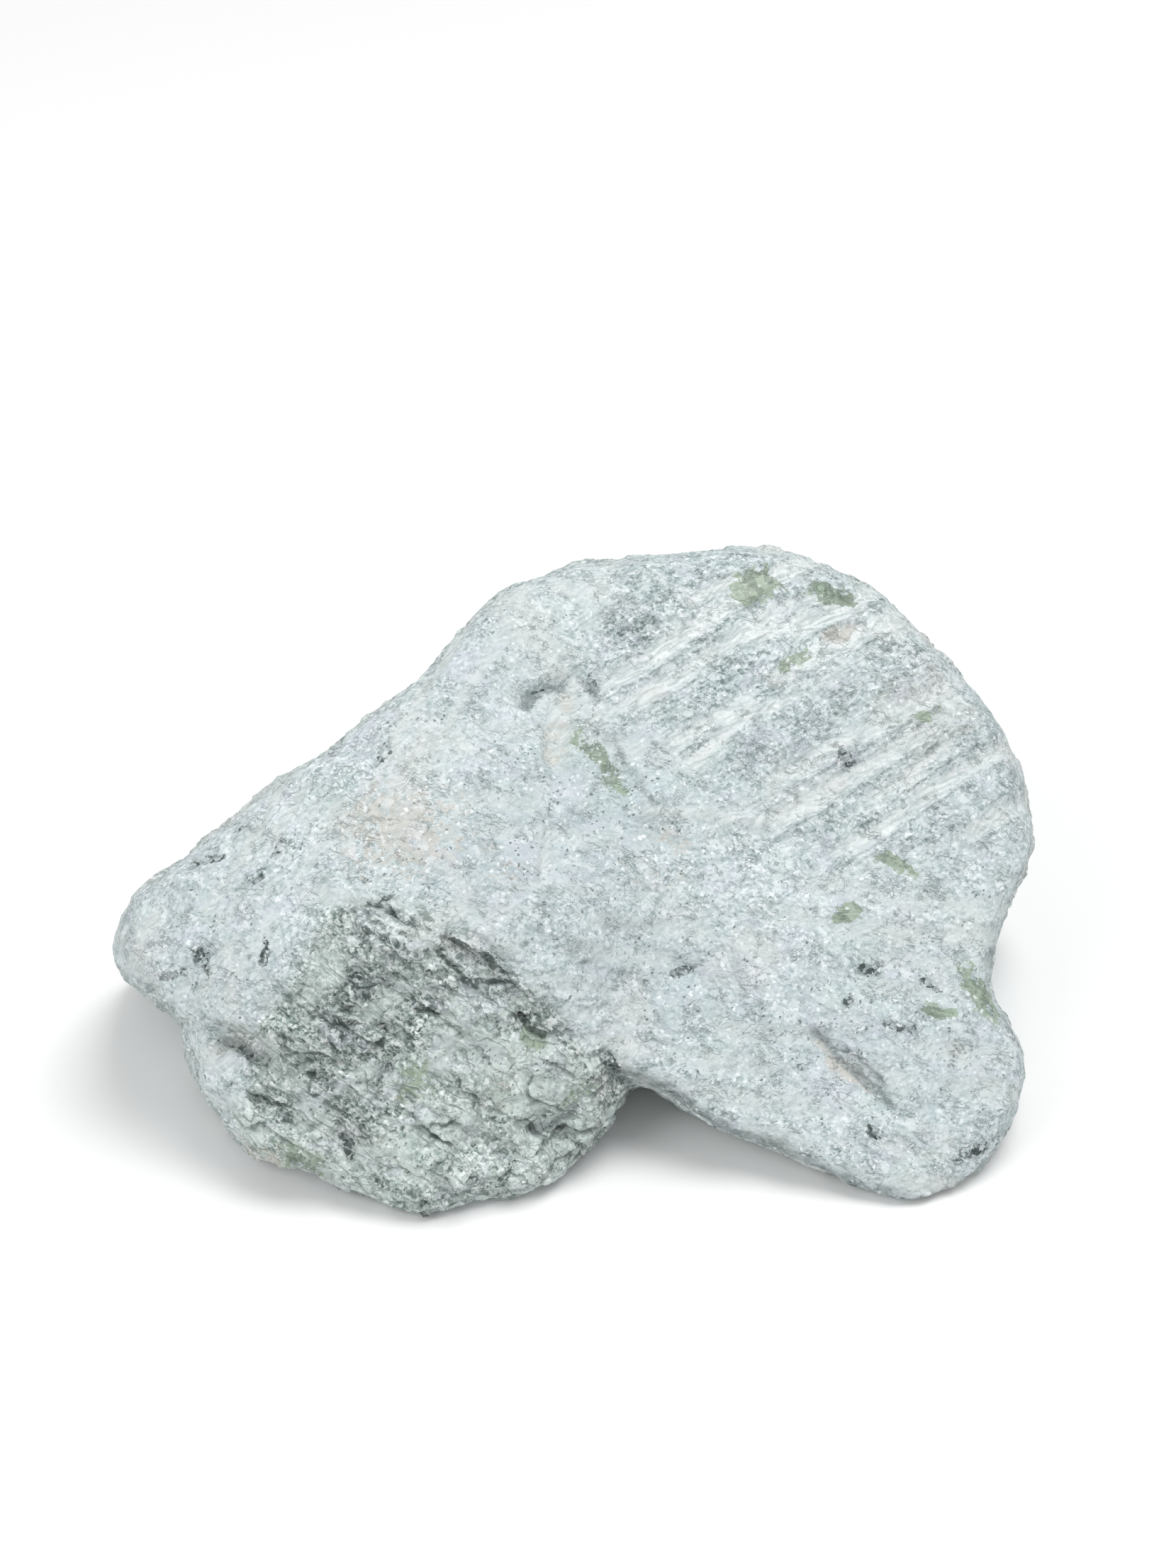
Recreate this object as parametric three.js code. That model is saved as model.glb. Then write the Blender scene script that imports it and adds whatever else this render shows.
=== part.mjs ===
// A rough soapstone block, 250 mm across, as a sculptor buys it: one solid lump of stone.
// Millimetres, +Z up, -Y towards the side it is displayed from. It lies on the worn flats of its
// underside, on z = 0, and the origin is at the middle of its box there.
//
// The stone is a field that is negative inside: two blocks trimmed by flats and by the display outline,
// with relief (ledges, grooves, gouges, hollows) cut in. Every part of its surface is in sight of one
// core point, so an icosphere is drawn onto it along lines from that point, and its vertices are slid
// along the surface until they lie as densely as the relief needs.

import * as THREE from "three";
import { ImprovedNoise } from "three/addons/math/ImprovedNoise.js";
import { mergeVertices } from "three/addons/utils/BufferGeometryUtils.js";

// ---------------------------------------------------------------- driving dimensions

const WIDTH = 250; // the finished stone along X; everything else follows in proportion

const DISPLAY_DISTANCE = 803; // from the eye to the stone's middle, where the outline is drawn
const DISPLAY_TILT = THREE.MathUtils.degToRad(38); // the eye's height above the horizon
const MIDDLE = new THREE.Vector3(0, 0, 62); // the outline's origin in the stone
const CORE = new THREE.Vector3(-13, 6, 45); // the point that all of the surface is in sight of

// The outline as seen from the eye, in mm at the stone's middle, x to the right and y up.
const OUTLINE = [
  [-120, -16], [-118, -26], [-110, -31], [-102, -38], [-101, -49], [-91, -66], [-83, -73], [-72, -77],
  [-61, -83], [-48, -88.5], [-37, -89], [-29, -86], [-20, -87], [-10, -83.5], [0, -74], [7.5, -66],
  [10, -58], [9.5, -51], [19, -54], [36, -66], [54, -73], [66, -78], [76, -83.5], [88, -86.5],
  [98, -84], [106, -78], [114, -67], [118, -53], [116, -43], [110, -33], [109, -23], [114, -7],
  [121, 8], [119, 24], [113, 37], [94, 60], [83, 72], [73, 79], [58, 85.5], [41, 89.5], [17, 86.5],
  [4, 85], [-17, 76.5], [-27, 66.5], [-40, 51], [-47, 47.5], [-64, 34], [-76, 25.5], [-100, 7], [-115, -6],
];
const OUTLINE_EDGE = 8; // how softly the outline's edge is rounded
const OUTLINE_STEPS = 24; // points along the curve between two of its given points

// The stone is two blocks grown together: the slab with the dome and the right foot, and the arm that
// ends in the broken lump. Each is trimmed by flats given as [facing, pitch, x, y, z]: the facing is in
// degrees from +X round to +Y, so that -90 is the display side, the pitch is in degrees above the
// horizontal, and the flat passes through the point.
const SLAB_FLATS = [
  [-88, 40, 60, -58, 10], // lower face, down to the right foot
  [-85, 52, 30, 0, 67], // bright face
  [-86, 61, 46, 50, 107], // dome
  [-30, 36, 124, -6, 60], // shoulder over the right foot
  [-130, -5, -12, -33, 46], // steep end over the lump
  [80, 62, 46, 94, 130], // crown, behind the ridge
  [94, 8, 20, 101, 60], // back
  [102, 36, 6, 92, 96], // back of the crown
  [60, -14, 60, 92, 26], // under the back
  [42, 8, 112, 66, 50], // back right
  [170, 0, -60, 60, 90], // inner end, inside the arm
];
const ARM_FLATS = [
  [-117, 59, -45, -20, 75], // top of the arm
  [-40, 62, -26, -5, 85], // saddle between the arm and the bright face
  [-165, 5, -126, -12, 50], // left end
  [128, 16, -58, 58, 74], // back left
  [88, 14, -20, 94, 62], // back
  [15, 10, 50, 0, 50], // inner end, inside the slab
];
const BROKEN_FLATS = [
  [-103, 27, -50, -51, 37], // front of the lump
  [-68, 24, -8, -49, 23], // right front of the lump
  [-22, 12, 18, -36, 12], // right end of the lump
];
const FLAT_EDGE = 14; // how softly the flats of one block meet
const BROKEN_EDGE = 6; // how softly the broken faces meet the rest of the arm
const BROKEN_FADE = [-3, 4]; // how far beyond the arm's own flats the broken relief fades in
const SLAB_FADE = [-4, 3]; // and how far outside the slab
const BLOCK_BLEND = 10; // how softly the two blocks run into each other
const BASE_EDGE = 4; // how softly the worn flats underneath meet the sides

const HOLLOW = 3.5; // height of the hollows in the worn underside
const HOLLOW_SIZE = 70;
const HOLLOW_SHARE = [-0.05, 0.3]; // the roughness where a hollow begins and is whole
const HOLLOW_INSET = [6, 30]; // they begin this far inside the sides, and are whole from there

const UNDULATION = 1.6; // height of the gentle lumps all over
const UNDULATION_SIZE = 38;

const DISPLAY_SIDE = [0.05, 0.3]; // how squarely a place lies towards the eye where relief begins

// The broken face is stepped by ledges of schist that dip to the right as it is seen from the eye.
const LEDGES = [
  { height: 3.4, spacing: 15, dip: 0.5, wander: 12, seed: 7.7 },
  { height: 1.8, spacing: 7, dip: 0.7, wander: 9, seed: 2.9 },
];
const LEDGE_BEND = 30; // length over which a ledge bends
const LEDGE_LENGTH = 20; // length over which a ledge comes and goes
const TREAD_SHARE = 0.8; // share of a step that is tread, and the rest is its riser
const TREAD_LEVEL = 0.4; // the height within a step that lies on the plain face

// Tool marks on the dome: long parallel grooves that rise to the right as they are seen from the eye.
const GROOVE_DEPTH = 1.6;
const GROOVE_SPACING = 14;
const GROOVE_RISE = THREE.MathUtils.degToRad(29);
const GROOVE_BEND = 30; // length over which a groove bends
const GROOVED = [30, 62]; // where the grooves begin and are whole, towards the upper right

// Single gouges and hollows on the display side: [x, y, x, y, width, depth], with both ends given as the
// outline's points are. A negative depth stands proud.
const GOUGES = [
  [-8, 47, -2, 50, 8, 4], // arrowhead pit
  [0, 53, 4, 48, 6, 2.2], // its right barb
  [-3, 50, -5, 33, 7.5, 1.8], // smooth channel below the pit
  [7, 40, 15, 27, 9, 1.8], // sunken patch under the step
  [12, 43, 21, 22, 8, -1.6], // proud edge of the step
  [19, 18, 49, 15, 9, -1.6], // pale ridge
  [18, 10, 33, 12, 10, 1.6], // hollow below the pale ridge
  [36, 38, 55, 55, 5, 1.6], // long groove across the dome
  [55, 55, 76, 67, 5, 1.6],
  [22, 58, 49, 78, 7, 1.4], // chisel bands near the ridge
  [55, 65, 76, 71, 7, 1.4],
  [64, -44, 81, -59, 6, 2], // slot in the right foot
  [26, -22, 31, -26, 6, 2], // pock above the notch
  [76, -22, 79, -28, 6, 1.6],
  [-8, -63, -6, -66, 6.5, 4], // deep hollow beside the notch
  [-92, -42, -80, -50, 6, 2.6], // crack at the left of the lump
  [-50, -42, -51, -55, 4, 2],
  [-58, -68, -57, -73, 6, 2.4],
  [-62, -28, -46, -34, 12, 2.4], // hackly hollow under the crest
  [-4, 12, -8, 0, 6, 1.2],
];
const GOUGE_WALL = 0.75; // share of a gouge's half width that is its sloping side

// The mesh: a coarse icosphere is spread over the stone, quartered, and spread again, level by level.
const FIRST_CUTS = 5; // cuts along each edge of the first icosahedron, so 20 * 5^2 triangles
const FIRST_SIZE = new THREE.Vector3(125, 80, 50); // the first icosphere, round the stone's middle
const FIRST_PLACE = new THREE.Vector3(0, 10, 45);
const SLIDES = [500, 160, 30]; // rounds of vertex spreading at each level
const DENSITY = { back: 0.6, display: 2, broken: 2 }; // triangles wanted on each side, one on the other
const REACH = [5, 190]; // between these distances from the core lies all of the surface
const QUICK_SEARCH = 11; // halvings of the reach, to find the surface while the vertices slide
const FINE_SEARCH = 26; // halvings for the finished surface
const SAME_POINT = 1e-4; // vertices nearer than this are one

// ---------------------------------------------------------------- field helpers

const noise = new ImprovedNoise();
const { clamp, smoothstep, degToRad } = THREE.MathUtils;

function smoothMax(a, b, width) {
  const overlap = Math.max(width - Math.abs(a - b), 0) / width;
  return Math.max(a, b) + (overlap * overlap * width) / 4;
}

function roughness(p, wavelength, octaves, seed) {
  let sum = 0;
  let size = 1;
  let frequency = 1 / wavelength;
  for (let octave = 0; octave < octaves; octave++) {
    sum += size * noise.noise(p.x * frequency + seed, p.y * frequency, p.z * frequency);
    size *= 0.5;
    frequency *= 2;
  }
  return sum;
}

function direction(facing, pitch) {
  const [around, up] = [degToRad(facing), degToRad(pitch)];
  return new THREE.Vector3(
    Math.cos(around) * Math.cos(up),
    Math.sin(around) * Math.cos(up),
    Math.sin(up),
  );
}

const asPlane = ([facing, pitch, x, y, z]) =>
  new THREE.Plane().setFromNormalAndCoplanarPoint(direction(facing, pitch), new THREE.Vector3(x, y, z));
const slabPlanes = SLAB_FLATS.map(asPlane);
const armPlanes = ARM_FLATS.map(asPlane);
const brokenPlanes = BROKEN_FLATS.map(asPlane);

function flatsField(planes, p) {
  return planes.map((plane) => plane.distanceToPoint(p)).reduce((a, b) => smoothMax(a, b, FLAT_EDGE));
}

// ---------------------------------------------------------------- the display outline

const toEye = new THREE.Vector3(0, -Math.cos(DISPLAY_TILT), Math.sin(DISPLAY_TILT));
const upInView = new THREE.Vector3(0, Math.sin(DISPLAY_TILT), Math.cos(DISPLAY_TILT));

// A point's place in the display view, and how much the view enlarges it there.
function inView(p) {
  const y = p.y - MIDDLE.y;
  const z = p.z - MIDDLE.z;
  const near = y * toEye.y + z * toEye.z;
  const scale = DISPLAY_DISTANCE / (DISPLAY_DISTANCE - near);
  return { x: (p.x - MIDDLE.x) * scale, y: (y * upInView.y + z * upInView.z) * scale, scale };
}

// The outline as a radius for every bearing around the core.
const BEARINGS = 1440;
const coreInView = inView(CORE);
const outlineRadius = (() => {
  const curve = new THREE.CatmullRomCurve3(
    OUTLINE.map(([x, y]) => new THREE.Vector3(x, y, 0)),
    true,
    "centripetal",
  );
  const polar = curve.getPoints(OUTLINE.length * OUTLINE_STEPS).map((p) => {
    const [dx, dy] = [p.x - coreInView.x, p.y - coreInView.y];
    return [Math.atan2(dy, dx), Math.hypot(dx, dy)];
  });
  polar.sort((a, b) => a[0] - b[0]);
  const table = new Float64Array(BEARINGS);
  let next = 0;
  for (let i = 0; i < BEARINGS; i++) {
    const bearing = -Math.PI + (i * 2 * Math.PI) / BEARINGS;
    while (next < polar.length && polar[next][0] < bearing) next++;
    const before = polar[(next + polar.length - 1) % polar.length];
    const after = polar[next % polar.length];
    let gap = after[0] - before[0];
    let into = bearing - before[0];
    if (gap <= 0) gap += 2 * Math.PI;
    if (into < 0) into += 2 * Math.PI;
    table[i] = before[1] + (after[1] - before[1]) * clamp(into / gap, 0, 1);
  }
  return table;
})();

function outlineField(view) {
  const [dx, dy] = [view.x - coreInView.x, view.y - coreInView.y];
  const place = ((Math.atan2(dy, dx) + Math.PI) / (2 * Math.PI)) * BEARINGS;
  const i = Math.floor(place) % BEARINGS;
  const [here, there] = [outlineRadius[i], outlineRadius[(i + 1) % BEARINGS]];
  const radius = here + (there - here) * (place - Math.floor(place));
  const slope = ((there - here) * BEARINGS) / (2 * Math.PI) / radius;
  return (Math.hypot(dx, dy) - radius) / Math.hypot(1, slope) / view.scale;
}

// ---------------------------------------------------------------- the whole field

// Height of the underside over the ground at a point that lies `depth` inside the sides.
function underside(p, depth) {
  const hollow = smoothstep(roughness(p, HOLLOW_SIZE, 2, 1.3), ...HOLLOW_SHARE);
  return HOLLOW * hollow * smoothstep(depth, ...HOLLOW_INSET);
}

// 0 to 1: how much a point belongs to the side that faces the eye.
function onDisplaySide(p) {
  const away = p.clone().sub(CORE);
  return smoothstep(away.dot(toEye) / away.length(), ...DISPLAY_SIDE);
}

// Sunken gouges, seen from the eye, as a depth in mm.
function gougeDepth(view) {
  let depth = 0;
  for (const [x1, y1, x2, y2, width, deepest] of GOUGES) {
    const [dx, dy] = [x2 - x1, y2 - y1];
    const along = clamp(((view.x - x1) * dx + (view.y - y1) * dy) / (dx * dx + dy * dy), 0, 1);
    const aside = Math.hypot(view.x - x1 - along * dx, view.y - y1 - along * dy);
    depth += deepest * smoothstep(1 - aside / width, 0, GOUGE_WALL);
  }
  return depth;
}

// Tool grooves on the dome, as a depth in mm.
function grooveDepth(p, view) {
  const across = view.y * Math.cos(GROOVE_RISE) - view.x * Math.sin(GROOVE_RISE);
  const phase = across / GROOVE_SPACING + 0.5 * roughness(p, GROOVE_BEND, 2, 5.3);
  const onDome = smoothstep(view.x + 0.7 * view.y, ...GROOVED);
  return GROOVE_DEPTH * onDome * (0.5 + 0.5 * Math.cos(2 * Math.PI * phase));
}

// Steps of the broken face, as a depth in mm: long treads and short risers, some high and some low.
function ledgeDepth(p, view) {
  let depth = 0;
  for (const { height, spacing, dip, wander, seed } of LEDGES) {
    const down = view.y + dip * view.x + wander * roughness(p, LEDGE_BEND, 3, seed);
    const step = down / spacing - Math.floor(down / spacing);
    const rise = step < TREAD_SHARE ? step / TREAD_SHARE : (1 - step) / (1 - TREAD_SHARE);
    const strength = smoothstep(roughness(p, LEDGE_LENGTH, 1, seed + 5), -0.5, 0.3);
    depth += height * strength * (rise - TREAD_LEVEL);
  }
  return depth;
}

// Negative inside the stone.
function stoneField(p) {
  const view = inView(p);
  const slab = flatsField(slabPlanes, p);
  const arm = flatsField(armPlanes, p);
  const broken = flatsField(brokenPlanes, p);
  const lump = smoothMax(arm, broken, BROKEN_EDGE);
  const blocks = -smoothMax(-slab, -lump, BLOCK_BLEND);
  let field = smoothMax(blocks, outlineField(view), OUTLINE_EDGE);
  field += UNDULATION * roughness(p, UNDULATION_SIZE, 3, 3.7);
  const display = onDisplaySide(p);
  if (display > 0) {
    const brokenHere = smoothstep(broken - arm, ...BROKEN_FADE) * smoothstep(slab - lump, ...SLAB_FADE);
    const relief = gougeDepth(view) + grooveDepth(p, view) + brokenHere * ledgeDepth(p, view);
    field += display * relief;
  }
  return smoothMax(field, underside(p, -field) - p.z, BASE_EDGE);
}

// ---------------------------------------------------------------- meshing

// The surface point in a direction from the core.
function surfacePoint(towards, target, halvings) {
  let [near, far] = REACH;
  for (let i = 0; i < halvings; i++) {
    const middle = (near + far) / 2;
    target.copy(CORE).addScaledVector(towards, middle);
    if (stoneField(target) < 0) near = middle;
    else far = middle;
  }
  return target;
}

// How densely a place is to be meshed: the display side most, and there the broken face.
function detailWanted(p) {
  const { x, y } = inView(p);
  const onBroken = smoothstep(-y - 0.4 * Math.abs(x + 40), -10, 10);
  return DENSITY.back + onDisplaySide(p) * (DENSITY.display + DENSITY.broken * onBroken);
}

// Draws every vertex onto the stone's surface, along its line from the core.
function draw(geometry, halvings) {
  const place = geometry.getAttribute("position");
  const towards = new THREE.Vector3();
  const p = new THREE.Vector3();
  for (let i = 0; i < place.count; i++) {
    towards.fromBufferAttribute(place, i).sub(CORE).normalize();
    surfacePoint(towards, p, halvings);
    place.setXYZ(i, p.x, p.y, p.z);
  }
}

// Slides each vertex to the middle of the triangles around it, so that they spread as wanted.
function slide(geometry) {
  const place = geometry.getAttribute("position");
  const corners = geometry.index.array;
  const [a, b, c] = [new THREE.Vector3(), new THREE.Vector3(), new THREE.Vector3()];
  const middle = new THREE.Vector3();
  const sums = new Float64Array(place.count * 3);
  const weights = new Float64Array(place.count);
  for (let t = 0; t < corners.length; t += 3) {
    a.fromBufferAttribute(place, corners[t]);
    b.fromBufferAttribute(place, corners[t + 1]);
    c.fromBufferAttribute(place, corners[t + 2]);
    middle.copy(a).add(b).add(c).divideScalar(3);
    const weight = b.sub(a).cross(c.sub(a)).length() * detailWanted(middle);
    for (let k = 0; k < 3; k++) {
      const v = corners[t + k];
      sums[v * 3] += middle.x * weight;
      sums[v * 3 + 1] += middle.y * weight;
      sums[v * 3 + 2] += middle.z * weight;
      weights[v] += weight;
    }
  }
  for (let v = 0; v < place.count; v++) {
    middle.set(sums[v * 3], sums[v * 3 + 1], sums[v * 3 + 2]).divideScalar(weights[v]);
    place.setXYZ(v, middle.x, middle.y, middle.z);
  }
}

function spread(geometry, rounds) {
  for (let round = 0; round < rounds; round++) {
    slide(geometry);
    draw(geometry, QUICK_SEARCH);
  }
}

// Every triangle split in four at the middles of its edges.
function quartered(geometry) {
  const place = geometry.getAttribute("position");
  const corners = geometry.index.array;
  const points = [];
  for (let t = 0; t < corners.length; t += 3) {
    const [a, b, c] = [0, 1, 2].map((k) => new THREE.Vector3().fromBufferAttribute(place, corners[t + k]));
    const ab = a.clone().add(b).divideScalar(2);
    const bc = b.clone().add(c).divideScalar(2);
    const ca = c.clone().add(a).divideScalar(2);
    points.push(a, ab, ca, ab, b, bc, ca, bc, c, ab, bc, ca);
  }
  return mergeVertices(new THREE.BufferGeometry().setFromPoints(points), SAME_POINT);
}

function drawnSphere() {
  const sphere = new THREE.IcosahedronGeometry(1, FIRST_CUTS - 1);
  sphere.deleteAttribute("normal");
  sphere.deleteAttribute("uv");
  let geometry = mergeVertices(sphere, SAME_POINT);
  geometry.scale(...FIRST_SIZE);
  geometry.translate(...FIRST_PLACE);
  SLIDES.forEach((rounds, level) => {
    if (level > 0) geometry = quartered(geometry);
    draw(geometry, QUICK_SEARCH);
    spread(geometry, rounds);
  });
  draw(geometry, FINE_SEARCH);
  return geometry;
}

// Scaled to its finished width, with the origin under the middle of its box.
function finished(geometry) {
  geometry.computeBoundingBox();
  const box = geometry.boundingBox;
  const middle = box.getCenter(new THREE.Vector3());
  const scale = WIDTH / (box.max.x - box.min.x);
  geometry.translate(-middle.x, -middle.y, -box.min.z);
  return geometry.scale(scale, scale, scale);
}

const surface = new THREE.MeshStandardMaterial({ color: 0xcbd5d3, roughness: 0.85 });
const stone = new THREE.Mesh(finished(drawnSphere()), surface);
stone.name = "soapstone_block";

const part = new THREE.Group();
part.add(stone);

export default part;
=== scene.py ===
import itertools
import math
from types import SimpleNamespace

import bmesh
import bpy
import numpy as np
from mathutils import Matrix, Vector


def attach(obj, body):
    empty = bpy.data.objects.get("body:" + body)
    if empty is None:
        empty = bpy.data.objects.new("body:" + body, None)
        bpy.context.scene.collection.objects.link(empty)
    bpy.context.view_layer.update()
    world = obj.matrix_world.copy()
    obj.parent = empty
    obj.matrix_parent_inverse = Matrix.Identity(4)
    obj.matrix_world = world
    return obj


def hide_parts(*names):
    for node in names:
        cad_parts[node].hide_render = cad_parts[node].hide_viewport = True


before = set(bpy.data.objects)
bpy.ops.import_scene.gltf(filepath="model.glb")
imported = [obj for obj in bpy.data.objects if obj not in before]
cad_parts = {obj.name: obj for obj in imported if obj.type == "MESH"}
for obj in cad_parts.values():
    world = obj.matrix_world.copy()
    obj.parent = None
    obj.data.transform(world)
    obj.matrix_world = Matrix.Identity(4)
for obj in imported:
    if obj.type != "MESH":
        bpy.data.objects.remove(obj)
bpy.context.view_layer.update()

# A rough soapstone block on a white studio floor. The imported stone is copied, divided finely and given
# its small relief as vertex moves, and the same fields are kept as vertex attributes for the material.
# Lengths are in millimetres until a mesh is written.

MM = 0.001

# ---------------------------------------------------------------- the display view

# Places on the display side are given as [x, y] in mm, x to the right and y up, as they are seen from
# the eye and drawn at the distance of the stone's middle, a little over its finished size.
EYE_TILT = math.radians(38)
EYE_DISTANCE = 793
MIDDLE = np.array([-1.0, -21.2, 61.2])
DRAWN_SIZE = 1.0126
TO_EYE = np.array([0, -math.cos(EYE_TILT), math.sin(EYE_TILT)])
UP_IN_VIEW = np.array([0, math.sin(EYE_TILT), math.cos(EYE_TILT)])

# ---------------------------------------------------------------- fields

NOISE_SPREAD = 1.6  # brings the noise to about -1 to 1
OCTAVE_STEP = 2.03  # how much finer each octave of it is


def smoothstep(low, high, value):
    t = np.clip((value - low) / (high - low), 0, 1)
    return t * t * (3 - 2 * t)


def mixed(a, b, share):
    return a + (b - a) * share


class Lattice:
    """Random numbers at the corners of a grid of unit cells, the same for the same seed."""

    SIZE = 256

    def __init__(self, seed):
        self.random = np.random.default_rng(seed)
        self.order = self.random.permutation(self.SIZE)

    def index(self, corner):
        last = self.SIZE - 1
        first = self.order[corner[:, 0] & last]
        second = self.order[(first + corner[:, 1]) & last]
        return self.order[(second + corner[:, 2]) & last]


def noise(points, seed):
    """Gradient noise, about -1 to 1, that changes over one unit of the points."""
    lattice = Lattice(seed)
    gradients = lattice.random.normal(size=(Lattice.SIZE, 3))
    gradients /= np.linalg.norm(gradients, axis=1, keepdims=True)
    cell = np.floor(points).astype(int)
    local = points - cell
    fade = local**3 * (local * (local * 6 - 15) + 10)
    total = np.zeros(len(points))
    for corner in itertools.product((0, 1), repeat=3):
        gradient = gradients[lattice.index(cell + corner)]
        weight = np.prod(np.where(corner, fade, 1 - fade), axis=1)
        total += weight * np.sum(gradient * (local - corner), axis=1)
    return total * NOISE_SPREAD


def rough(points, size, octaves, seed, gain=0.5):
    """Several octaves of noise, the first with features of this size."""
    total = np.zeros(len(points))
    strength = 1.0
    for octave in range(octaves):
        total += strength * noise(points / size, seed + octave)
        strength *= gain
        size /= OCTAVE_STEP
    return total


def grains(points, seed):
    """Distance to the nearest grain, the grain's own number, and a slope across it that is its own.
    There is one grain in each unit cell of the points."""
    lattice = Lattice(seed)
    jitter = lattice.random.random((Lattice.SIZE, 3))
    own = lattice.random.random(Lattice.SIZE)
    tilt = lattice.random.normal(size=(Lattice.SIZE, 3))
    cell = np.floor(points).astype(int)
    nearest = np.full(len(points), np.inf)
    number = np.zeros(len(points))
    slope = np.zeros(len(points))
    for step in itertools.product((-1, 0, 1), repeat=3):
        corner = cell + step
        index = lattice.index(corner)
        gap = points - corner - jitter[index]
        away = np.linalg.norm(gap, axis=1)
        nearer = away < nearest
        number = np.where(nearer, own[index], number)
        slope = np.where(nearer, np.sum(tilt[index] * gap, axis=1), slope)
        nearest = np.where(nearer, away, nearest)
    return nearest, number, slope


def turned(view, degrees):
    """View places as lengths along and across a direction that rises to the right by these degrees."""
    angle = math.radians(degrees)
    along = view[:, 0] * math.cos(angle) + view[:, 1] * math.sin(angle)
    across = view[:, 1] * math.cos(angle) - view[:, 0] * math.sin(angle)
    return along, across


def to_line(view, line):
    """The nearest distance to a line of points, and which side of it: positive on its left."""
    nearest = np.full(len(view), np.inf)
    side = np.zeros(len(view))
    for start, end in zip(line[:-1], line[1:]):
        start, end = np.array(start, float), np.array(end, float)
        run = end - start
        share = np.clip((view - start) @ run / (run @ run), 0, 1)
        gap = view - (start + share[:, None] * run)
        away = np.linalg.norm(gap, axis=1)
        turn = run[0] * gap[:, 1] - run[1] * gap[:, 0]
        nearer = away < nearest
        side = np.where(nearer, np.sign(turn), side)
        nearest = np.where(nearer, away, nearest)
    return nearest, side


def inside(view, outline, edge):
    """1 inside a closed outline and 0 outside, over an edge of this width."""
    away, _ = to_line(view, outline + outline[:1])
    crossings = np.zeros(len(view), bool)
    x, y = view[:, 0], view[:, 1]
    for (x1, y1), (x2, y2) in zip(outline, outline[1:] + outline[:1]):
        if y1 != y2:
            crossings ^= ((y1 > y) != (y2 > y)) & (x < (x2 - x1) * (y - y1) / (y2 - y1) + x1)
    return smoothstep(-edge / 2, edge / 2, np.where(crossings, away, -away))


# ---------------------------------------------------------------- the finely divided stone

DIVISIONS = 2
SAME_PLACE = 1e-6  # metres; vertices nearer than this are one


def fine_copy(node, name):
    """The CAD node as a new object whose faces are each divided, with shared vertices."""
    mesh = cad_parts[node].data.copy()
    work = bmesh.new()
    work.from_mesh(mesh)
    bmesh.ops.remove_doubles(work, verts=work.verts, dist=SAME_PLACE)
    work.to_mesh(mesh)
    work.free()
    mesh.materials.clear()
    coarse = bpy.data.objects.new(name, mesh)
    bpy.context.scene.collection.objects.link(coarse)
    divide = coarse.modifiers.new("divide", "SUBSURF")
    divide.levels = DIVISIONS
    divide.render_levels = DIVISIONS
    divided = coarse.evaluated_get(bpy.context.evaluated_depsgraph_get())
    coarse.data = bpy.data.meshes.new_from_object(divided)
    coarse.modifiers.clear()
    coarse.data.name = name
    return coarse


def read_vectors(collection, attribute):
    values = np.empty(len(collection) * 3)
    collection.foreach_get(attribute, values)
    return values.reshape(-1, 3)


stone = fine_copy("soapstone_block", "stone")
place = read_vectors(stone.data.vertices, "co") / MM
outward = read_vectors(stone.data.vertices, "normal")
edges = np.empty(len(stone.data.edges) * 2, int)
stone.data.edges.foreach_get("vertices", edges)
edges = edges.reshape(-1, 2)
neighbours = np.bincount(edges.ravel(), minlength=len(place))


def blurred(values, rounds):
    """A field averaged over each vertex's neighbours."""
    for _ in range(rounds):
        total = np.zeros(len(values))
        np.add.at(total, edges[:, 0], values[edges[:, 1]])
        np.add.at(total, edges[:, 1], values[edges[:, 0]])
        values = (values + total) / (neighbours + 1)
    return values


near = (place - MIDDLE) @ TO_EYE
enlarged = DRAWN_SIZE * EYE_DISTANCE / (EYE_DISTANCE - near)
view = np.stack([(place - MIDDLE)[:, 0] * enlarged, (place - MIDDLE) @ UP_IN_VIEW * enlarged], axis=1)
facing = smoothstep(0.02, 0.3, outward @ TO_EYE)
wander = np.stack([rough(place, 9, 3, 11), rough(place, 9, 3, 21)], axis=1)
loose = view + 1.6 * wander  # the same places with edges that wander as broken stone does

# ---------------------------------------------------------------- regions of the display side

BROKEN = [
    (-90, -42), (-74, -28), (-64, -9), (-47, -6), (-33, -11), (-21, -18), (-10, -31), (2, -44),
    (13, -50), (16, -60), (4, -78), (-20, -95), (-60, -95), (-86, -76), (-90, -62), (-84, -52),
]
DOME = [
    (4, 50), (12, 96), (60, 96), (126, 50), (126, 16), (102, 4), (70, 2), (48, 10), (30, 26), (14, 40),
]
NOSE = [
    (-130, 0), (-80, 46), (-44, 70), (-22, 76), (-20, 48), (-36, 28), (-58, 14), (-74, -4), (-82, -22),
    (-100, -42), (-130, -36),
]

broken = inside(loose, BROKEN, 6) * facing
dome = inside(loose, DOME, 12) * facing
nose = inside(loose, NOSE, 14) * facing * (1 - broken)
plain = facing * (1 - broken) * (1 - dome) * (1 - nose)
hidden = 1 - facing

DOME_GRAIN = 29  # degrees that the tool marks of each region rise to the right
NOSE_GRAIN = 60
PLAIN_GRAIN = -6
LEDGE_GRAIN = -36

LANE_SHARE = 0.7  # share of the spacing that a chisel cut takes
LANE_BEND = (60, 40)  # mm along and across over which the lanes bend

# ---------------------------------------------------------------- relief


def streaks(degrees, length, width, seed):
    """Long fine scratches along one direction of the display view."""
    along, across = turned(loose, degrees)
    return rough(np.stack([along / length, across / width, near / width / 4], axis=1), 1, 3, seed)


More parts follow.
